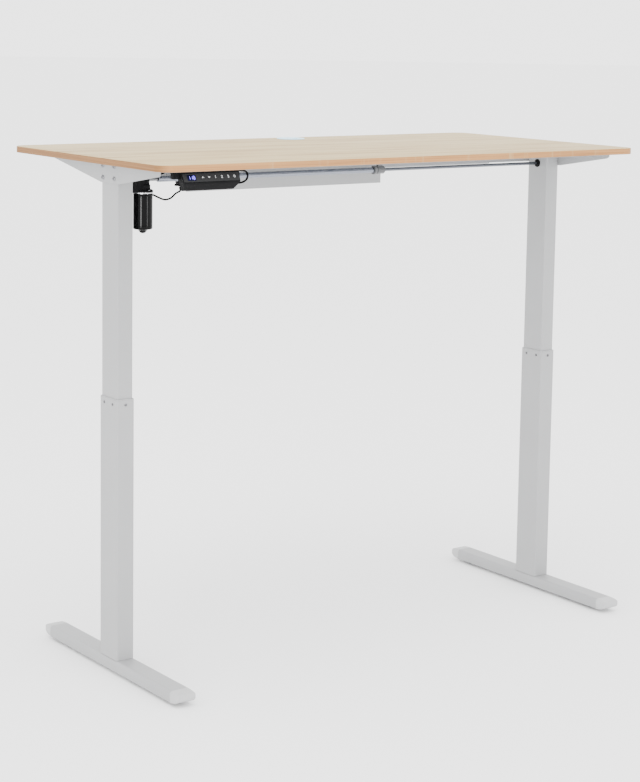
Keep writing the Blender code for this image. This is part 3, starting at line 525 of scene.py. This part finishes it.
def piece(name, mesh, made, body, replaces=(), smooth_angle=35):
    """Places a finished mesh as a visible piece on a CAD body."""
    item = bpy.data.objects.new(name, mesh)
    bpy.context.scene.collection.objects.link(item)
    mesh.materials.clear()
    mesh.materials.append(made)
    mesh.shade_smooth()
    mesh.set_sharp_from_angle(angle=math.radians(smooth_angle))
    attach(item, body)
    if replaces:
        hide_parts(*replaces)
    return item


def cut(mesh, tool_mesh):
    """The mesh with the tool's space removed."""
    work = bpy.data.objects.new("work_piece", mesh)
    tool = bpy.data.objects.new("work_tool", tool_mesh)
    for item in (work, tool):
        bpy.context.scene.collection.objects.link(item)
    modifier = work.modifiers.new("cut", "BOOLEAN")
    modifier.operation = "DIFFERENCE"
    modifier.solver = "EXACT"
    modifier.object = tool
    graph = bpy.context.evaluated_depsgraph_get()
    result = bpy.data.meshes.new_from_object(work.evaluated_get(graph))
    for item in (work, tool):
        bpy.data.objects.remove(item, do_unlink=True)
    return result


# ---------------------------------------------------------------- worktop and grommet

EDGE_ROUND = 0.9 * MM
CORNER_RADIUS = 35 * MM
GROMMET_HOLE = 30 * MM                  # radius of the hole in the top
CLEARANCE = 0.3 * MM                    # gap between pieces that touch


def build_worktop(materials):
    """Board with eased edges and the grommet's hole; gives the hole's centre and both face heights."""
    low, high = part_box("worktop")
    size = high - low
    middle = ((low.x + high.x) / 2, (low.y + high.y) / 2)
    sections = []
    for end, sign in ((low.z, 1), (high.z, -1)):
        steps = []
        for degrees in (0, 30, 60, 90):
            angle = math.radians(degrees)
            inset = EDGE_ROUND * (1 - math.sin(angle))
            height = end + sign * EDGE_ROUND * (1 - math.cos(angle))
            outline = rounded_rectangle(size.x - 2 * inset, size.y - 2 * inset,
                                        CORNER_RADIUS - inset, 18, middle)
            steps.append((height, outline))
        sections += steps if sign > 0 else steps[::-1]
    slab = loft("worktop_panel", sections)
    ring_low, ring_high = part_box("grommet_ring")
    centre = ((ring_low.x + ring_high.x) / 2, (ring_low.y + ring_high.y) / 2)
    through = [(GROMMET_HOLE, low.z - 10 * MM), (GROMMET_HOLE, high.z + 10 * MM)]
    hole = turned("hole", through, 72, "Z", centre)
    piece("worktop_panel", cut(slab, hole), materials["oak"], "top_frame", ["worktop"])
    return centre, low.z, high.z


def build_grommet(materials, centre, underside, top):
    """Ring that lines the hole in the top, and its lift-out lid with a slot for cables."""
    sleeve, bore, rim = GROMMET_HOLE - CLEARANCE, 27.2 * MM, 36.5 * MM
    seat = bore - 2 * MM
    ring = [(seat, underside + 2 * MM), (sleeve, underside + 2 * MM), (sleeve, top + 0.3 * MM),
            (rim, top + 0.3 * MM), (rim, top + 0.9 * MM), (rim - 0.5 * MM, top + 1.7 * MM),
            (rim - 1.6 * MM, top + 2.3 * MM), (rim - 3 * MM, top + 2.5 * MM),
            (bore + 0.6 * MM, top + 2.5 * MM), (bore, top + 1.9 * MM), (bore, top - 2 * MM),
            (seat, top - 2 * MM)]
    mesh = turned("cable_grommet_ring", ring, 72, "Z", centre, closed=True)
    piece("cable_grommet_ring", mesh, materials["grommet"], "top_frame",
          ["grommet_ring"], 30)
    edge = bore - CLEARANCE
    low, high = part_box("grommet_lid")
    lid = [(edge, low.z), (edge, high.z - 0.6 * MM), (edge - 0.6 * MM, high.z), (15 * MM, high.z),
           (14.4 * MM, high.z - 0.4 * MM), (13.6 * MM, high.z - 0.4 * MM), (13 * MM, high.z)]
    plate = turned("cable_grommet_lid", lid, 72, "Z", centre)
    slot_outline = rounded_rectangle(18 * MM, 37 * MM, 3 * MM, 6, (centre[0], centre[1] - 31.5 * MM))
    plate = cut(plate, loft("slot", [(low.z - 0.01, slot_outline), (high.z + 0.01, slot_outline)]))
    piece("cable_grommet_lid", plate, materials["grommet"], "grommet_lid",
          ["grommet_lid"], 30)


# ---------------------------------------------------------------- motor and gearbox

def build_motor(materials):
    """Drawn can with two rolled grooves and a domed end cap; gives the can's centre."""
    low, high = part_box("motor_can")
    centre = ((low.x + high.x) / 2, (low.y + high.y) / 2)
    radius = (high.x - low.x) / 2
    foot = low.z + 9.5 * MM            # height where the can ends and its end cap starts
    profile = [(radius - 1.2 * MM, high.z), (radius - 0.4 * MM, high.z - 0.4 * MM),
               (radius, high.z - 1.2 * MM), (radius, high.z - 6.0 * MM),
               (radius - 0.35 * MM, high.z - 6.3 * MM), (radius - 0.35 * MM, high.z - 7.0 * MM),
               (radius, high.z - 7.3 * MM), (radius, foot + 9.0 * MM),
               (radius - 0.35 * MM, foot + 8.7 * MM), (radius - 0.35 * MM, foot + 8.0 * MM),
               (radius, foot + 7.7 * MM), (radius, foot + 3.0 * MM), (radius - 0.5 * MM, foot + 1.4 * MM),
               (radius - 1.8 * MM, foot + 0.3 * MM), (radius - 4.5 * MM, foot - 0.2 * MM),
               (13.0 * MM, foot - 0.9 * MM), (10.6 * MM, foot - 2.2 * MM), (9.0 * MM, foot - 4.2 * MM),
               (7.6 * MM, foot - 6.4 * MM), (5.8 * MM, foot - 8.2 * MM), (3.2 * MM, foot - 9.3 * MM),
               (0.8 * MM, foot - 9.5 * MM)]
    mesh = turned("motor_housing", profile, 72, "Z", centre)
    piece("motor_housing", mesh, materials["motor"], "top_frame", ["motor_can"], 40)
    return centre


def build_gearbox_trim(materials, centre):
    """Flange under the gearbox, its screws, the side cover and the ribs that stand on the block."""
    low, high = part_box("drive_gearbox")
    radius = 23.6 * MM
    base = low.z + 0.2 * MM
    flange = turned("flange", [(radius - 0.5 * MM, base), (radius, base + 0.5 * MM),
                               (radius, base + 3.2 * MM), (radius - 1 * MM, base + 4.2 * MM)],
                    72, "Z", centre)
    boss = turned("boss", [(14.5 * MM, base + 4.2 * MM), (14.5 * MM, base + 16 * MM),
                           (12.0 * MM, base + 19 * MM)], 48, "Z",
                  (centre[0] + 2.0 * MM, centre[1] - 1.5 * MM))
    gland = turned("gland", [(4.2 * MM, high.x - 0.5 * MM), (4.2 * MM, high.x + 0.1 * MM),
                             (3.6 * MM, high.x + 0.25 * MM)], 24, "X", (-70 * MM, 1154 * MM))
    ribs = []
    for share in (0.25, 0.5, 0.75):
        x = low.x + (high.x - low.x) * share
        outline = rounded_rectangle(1.6 * MM, 0.9 * MM, 0.3 * MM, 2, (x, low.y - 0.1 * MM))
        ribs.append(loft("rib", [(low.z + 8 * MM, outline), (high.z - 3 * MM, outline)]))
    cover_outline = rounded_rectangle(38 * MM, 50 * MM, 6 * MM, 6,
                                      ((low.x + high.x) / 2, (low.y + high.y) / 2))
    cover = loft("cover", [(high.z - 0.5 * MM, cover_outline), (high.z + 1.2 * MM, cover_outline)])
    mesh = joined("gearbox_trim", [flange, boss, gland, cover, *ribs])
    piece("gearbox_trim", mesh, materials["black"], "top_frame", (), 30)
    heads = []
    for degrees in (-75, -15, 35):
        angle = math.radians(degrees)
        spot = (centre[0] + 19.6 * MM * math.cos(angle), centre[1] + 19.6 * MM * math.sin(angle))
        heads.append(socket_head(spot, base + 4.2 * MM, 1, "Z", 2.4 * MM, 2.0 * MM))
    piece("gearbox_screws", joined("gearbox_screws", heads), materials["zinc"], "top_frame")


def socket_head(spot, seat, sign, axis, radius, height):
    """Button head with a hexagon socket, standing on seat along axis."""
    sides = 24
    drive = radius * 0.50
    rings = [(0, circle(radius * 0.96, sides, spot)), (0.25, circle(radius, sides, spot)),
             (0.60, circle(radius * 0.93, sides, spot)), (0.88, circle(radius * 0.75, sides, spot)),
             (1.0, circle(radius * 0.58, sides, spot)), (0.97, hexagon(drive * 0.86, sides, spot)),
             (0.30, hexagon(drive * 0.84, sides, spot))]
    return loft("head", [(seat + sign * height * share, ring) for share, ring in rings], axis)


# ---------------------------------------------------------------- bracket bolts

BOLT_PLACES = [(y, z) for y in (-76.5 * MM, -25.5 * MM) for z in (1151.5 * MM, 1178.5 * MM)]


def build_bracket_bolts(materials):
    """Nut plates inside the columns, with the four bolts that clamp each bracket."""
    for side, sign in (("left", -1), ("right", 1)):
        low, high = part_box(side + "_bracket_bolts")
        inside = high.x if sign < 0 else low.x
        bracket_low, bracket_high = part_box(side + "_bracket")
        face = bracket_low.x if sign < 0 else bracket_high.x
        solids = []
        for y, z in BOLT_PLACES:
            solids.append(socket_head((y, z), face + sign * 0.3 * MM, sign, "X", 5.2 * MM, 2.6 * MM))
            shank = [(2.9 * MM, inside), (2.9 * MM, face + sign * 0.35 * MM)]
            solids.append(turned("shank", shank, 20, "X", (y, z)))
        plate_outline = rounded_rectangle(62 * MM, 40 * MM, 2 * MM, 4, (-51.5 * MM, 1164 * MM))
        thick = sorted((inside, inside + sign * 3 * MM))
        solids.append(loft("nut_plate", [(thick[0], plate_outline), (thick[1], plate_outline)], "X"))
        name = side + "_bolt_set"
        piece(name, joined(name, solids), materials["zinc"], "top_frame", [side + "_bracket_bolts"])


# ---------------------------------------------------------------- handset

def button_frame(name):
    """Middle of a key's outer face, with the outward normal and the up direction on the panel."""
    press = next(joint for joint in frame["joints"] if joint["name"] == "press_" + name)
    outward = -Vector(press["axis"]).normalized()
    upward = Vector((1, 0, 0)).cross(-outward).normalized()
    low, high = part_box("button_" + name)
    return (low + high) / 2 + outward * 0.5 * MM, outward, upward


def ribbon(points, width, closed=False):
    """Outlines either side of a line drawn through points, as a list of quads."""
    count = len(points)
    left, right = [], []
    for i in range(count):
        before = points[(i - 1) % count] if closed or i else None
        after = points[(i + 1) % count] if closed or i < count - 1 else None
        here = Vector(points[i])
        runs = []
        if before is not None:
            runs.append((here - Vector(before)).normalized())
        if after is not None:
            runs.append((Vector(after) - here).normalized())
        along = sum(runs, Vector((0, 0))).normalized()
        side = Vector((-along.y, along.x))
        reach = width / 2 / max(0.5, along.dot(runs[0]))
        left.append(here + side * reach)
        right.append(here - side * reach)
    last = count if closed else count - 1
    return [(left[i], left[(i + 1) % count], right[(i + 1) % count], right[i]) for i in range(last)]


def raised(name, polygons, origin, outward, upward, depth=0.12 * MM):
    """Flat raised marks: each polygon becomes a thin plate on the plane through origin."""
    across = upward.cross(outward).normalized()
    shape = bmesh.new()
    for polygon in polygons:
        rings = []
        for level in (-0.05 * MM, depth):
            ring = []
            for u, v in polygon:
                ring.append(shape.verts.new(origin + across * u + upward * v + outward * level))
            rings.append(ring)
        shape.faces.new(rings[0][::-1])
        shape.faces.new(rings[1])
        for i in range(len(polygon)):
            j = (i + 1) % len(polygon)
            shape.faces.new((rings[0][i], rings[0][j], rings[1][j], rings[1][i]))
    bmesh.ops.remove_doubles(shape, verts=shape.verts, dist=1e-7)
    bmesh.ops.recalc_face_normals(shape, faces=shape.faces)
    mesh = bpy.data.meshes.new(name)
    shape.to_mesh(mesh)
    shape.free()
    return mesh


ONE = [(-0.40, 0.50), (0.05, 0.95), (0.05, -0.95)]
TWO = [(-0.50, 0.50), (-0.36, 0.80), (0.0, 0.92), (0.38, 0.80), (0.50, 0.45), (0.28, 0.02), (-0.48, -0.86),
       (0.55, -0.86)]
THREE = [(-0.50, 0.65), (-0.20, 0.90), (0.25, 0.88), (0.46, 0.52), (0.28, 0.12), (0.02, 0.03),
         (0.36, -0.14), (0.50, -0.50), (0.25, -0.86), (-0.20, -0.90), (-0.52, -0.65)]
ARROW = [(0.0, 0.85), (0.95, -0.75), (0.0, -0.25), (-0.95, -0.75)]


def icon(name):
    """Polygons, in metres, of the mark on one key."""
    size = 3.3 * MM
    if name in ("up", "down"):
        flip = 1 if name == "up" else -1
        points = [(u * size, flip * v * size) for u, v in ARROW]
        return [(points[0], points[1], points[2]), (points[0], points[2], points[3])]
    if name == "reminder":
        dial = [(u, v) for u, v in circle(2.6 * MM, 24)]
        hands = [(0.0, 1.7 * MM), (0.0, 0.0), (1.3 * MM, -0.4 * MM)]
        return ribbon(dial, 0.8 * MM, closed=True) + ribbon(hands, 0.7 * MM)
    line = {"memory_1": ONE, "memory_2": TWO, "memory_3": THREE}[name]
    return ribbon([(u * size * 0.8, v * size) for u, v in line], 1.15 * MM)


SEGMENTS = {"a": ((0, 1), (1, 1)), "b": ((1, 1), (1, 0)), "c": ((1, 0), (1, -1)), "d": ((0, -1), (1, -1)),
            "e": ((0, 0), (0, -1)), "f": ((0, 1), (0, 0)), "g": ((0, 0), (1, 0))}
DIGIT_SEGMENTS = {"1": "bc", "8": "abcdefg"}


def digit(character, left, width, half_height):
    """Seven-segment bars of one digit, each a flat hexagon."""
    bars = []
    half, gap = 0.48 * MM, 0.30 * MM
    for name in DIGIT_SEGMENTS[character]:
        (u0, v0), (u1, v1) = SEGMENTS[name]
        start = Vector((left + u0 * width, v0 * half_height))
        end = Vector((left + u1 * width, v1 * half_height))
        along = (end - start).normalized()
        side = Vector((-along.y, along.x)) * half
        start, end = start + along * gap, end - along * gap
        bars.append((start, start + along * half - side, end - along * half - side, end,
                     end - along * half + side, start + along * half + side))
    return bars


def build_handset(materials):
    """Marks on the six keys, and the display with its lit digits behind the pane."""
    for name in ("up", "down", "memory_1", "memory_2", "memory_3", "reminder"):
        origin, outward, upward = button_frame(name)
        mark = raised("mark_" + name, icon(name), origin, outward, upward)
        piece("mark_" + name, mark, materials["print"], "button_" + name)

    key, outward, upward = button_frame("up")
    window_x = (-630.0 * MM, -607.5 * MM)
    middle = Vector(((window_x[0] + window_x[1]) / 2, key.y, key.z))
    face = middle + outward * 0.05 * MM
    half_u, half_v = (window_x[1] - window_x[0]) / 2 - 0.3 * MM, 6.9 * MM
    pane = rounded_rectangle(2 * half_u, 2 * half_v, 1.2 * MM, 4)
    glass = raised("display_window", [pane], face - outward * 0.9 * MM, outward, upward, 0.35 * MM)
    piece("display_window", glass, materials["window"], "top_frame")
    bars = []
    for place, character in enumerate("118"):
        bars += digit(character, (-7.6 + 6.0 * place) * MM, 3.6 * MM, 3.9 * MM)
    lit = raised("display_digits", bars, face - outward * 0.5 * MM, outward, upward, 0.10 * MM)
    piece("display_digits", lit, materials["digits"], "top_frame")


# ---------------------------------------------------------------- leads

MOTOR_LEAD = [(-0.5776, -0.0700, 1.1540), (-0.5680, -0.0702, 1.1541), (-0.5560, -0.0760, 1.1560),
              (-0.5420, -0.0820, 1.1615), (-0.5250, -0.0840, 1.1680), (-0.5000, -0.0800, 1.1710),
              (-0.4770, -0.0620, 1.1690), (-0.4650, -0.0400, 1.1600), (-0.4590, -0.0200, 1.1440),
              (-0.4550, -0.0010, 1.1330), (-0.4480, 0.0120, 1.1285), (-0.4350, 0.0190, 1.1265),
              (-0.4000, 0.0290, 1.1215), (-0.3750, 0.0340, 1.1200), (-0.3204, 0.0350, 1.1200)]
SIGNAL_LEAD = [(-0.5668, -0.0735, 1.1110), (-0.5610, -0.0735, 1.1102), (-0.5480, -0.0750, 1.1040),
               (-0.5330, -0.0760, 1.0990), (-0.5160, -0.0740, 1.1020), (-0.4950, -0.0600, 1.1100),
               (-0.4700, -0.0380, 1.1130), (-0.4530, -0.0120, 1.1150), (-0.4450, 0.0030, 1.1170),
               (-0.4350, 0.0105, 1.1170), (-0.4050, 0.0190, 1.1140), (-0.3750, 0.0245, 1.1150),
               (-0.3204, 0.0250, 1.1150)]
HANDSET_LEAD = [(-0.4857, -0.3080, 1.1818), (-0.4760, -0.3080, 1.1814), (-0.4650, -0.3078, 1.1780),
                (-0.4600, -0.3070, 1.1690), (-0.4630, -0.3050, 1.1590), (-0.4740, -0.2990, 1.1530),
                (-0.4720, -0.2700, 1.1520), (-0.4680, -0.2300, 1.1550), (-0.4600, -0.1800, 1.1570),
                (-0.4500, -0.1300, 1.1550), (-0.4420, -0.0900, 1.1420), (-0.4380, -0.0550, 1.1305),
                (-0.4400, -0.0300, 1.1260), (-0.4445, -0.0128, 1.1225), (-0.4465, 0.0080, 1.1220),
                (-0.4455, 0.0230, 1.1215), (-0.4330, 0.0340, 1.1225), (-0.4050, 0.0420, 1.1240),
                (-0.3760, 0.0480, 1.1240), (-0.3204, 0.0490, 1.1240)]


def smooth_route(points, steps):
    """Catmull-Rom curve through the route's points, with steps stretches between each two."""
    first = 2 * Vector(points[0]) - Vector(points[1])
    last = 2 * Vector(points[-1]) - Vector(points[-2])
    guide = [first, *[Vector(point) for point in points], last]
    result = []
    for a, b, c, d in zip(guide, guide[1:], guide[2:], guide[3:]):
        for step in range(steps):
            t = step / steps
            result.append(0.5 * (2 * b + (c - a) * t + (2 * a - 5 * b + 4 * c - d) * t ** 2
                                 + (3 * b - a - 3 * c + d) * t ** 3))
    result.append(guide[-2])
    return result


def build_lead(name, route, diameter, node, materials):
    curve = bpy.data.curves.new(name, "CURVE")
    curve.dimensions = "3D"
    curve.bevel_depth = diameter / 2
    curve.bevel_resolution = 5
    curve.use_fill_caps = True
    points = smooth_route(route, 6)
    line = curve.splines.new("POLY")
    line.points.add(len(points) - 1)
    for target, point in zip(line.points, points):
        target.co = (*point, 1.0)
    lead = bpy.data.objects.new(name, curve)
    bpy.context.scene.collection.objects.link(lead)
    curve.materials.append(materials["sheath"])
    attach(lead, "top_frame")
    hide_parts(node)


def build_leads(materials):
    build_lead("power_cable", MOTOR_LEAD, 6.0 * MM, "motor_power_lead", materials)
    build_lead("signal_cable", SIGNAL_LEAD, 4.4 * MM, "motor_signal_lead", materials)
    build_lead("handset_cable", HANDSET_LEAD, 4.4 * MM, "handset_lead", materials)


# ---------------------------------------------------------------- assembly

def build():
    add_camera()
    add_world()
    add_floor()
    for light in LIGHTS:
        add_area_light(*light)
    materials = make_materials()
    finish_cad_nodes(materials)
    grommet_centre, underside, top = build_worktop(materials)
    build_grommet(materials, grommet_centre, underside, top)
    motor_centre = build_motor(materials)
    build_gearbox_trim(materials, motor_centre)
    build_bracket_bolts(materials)
    build_handset(materials)
    build_leads(materials)


build()
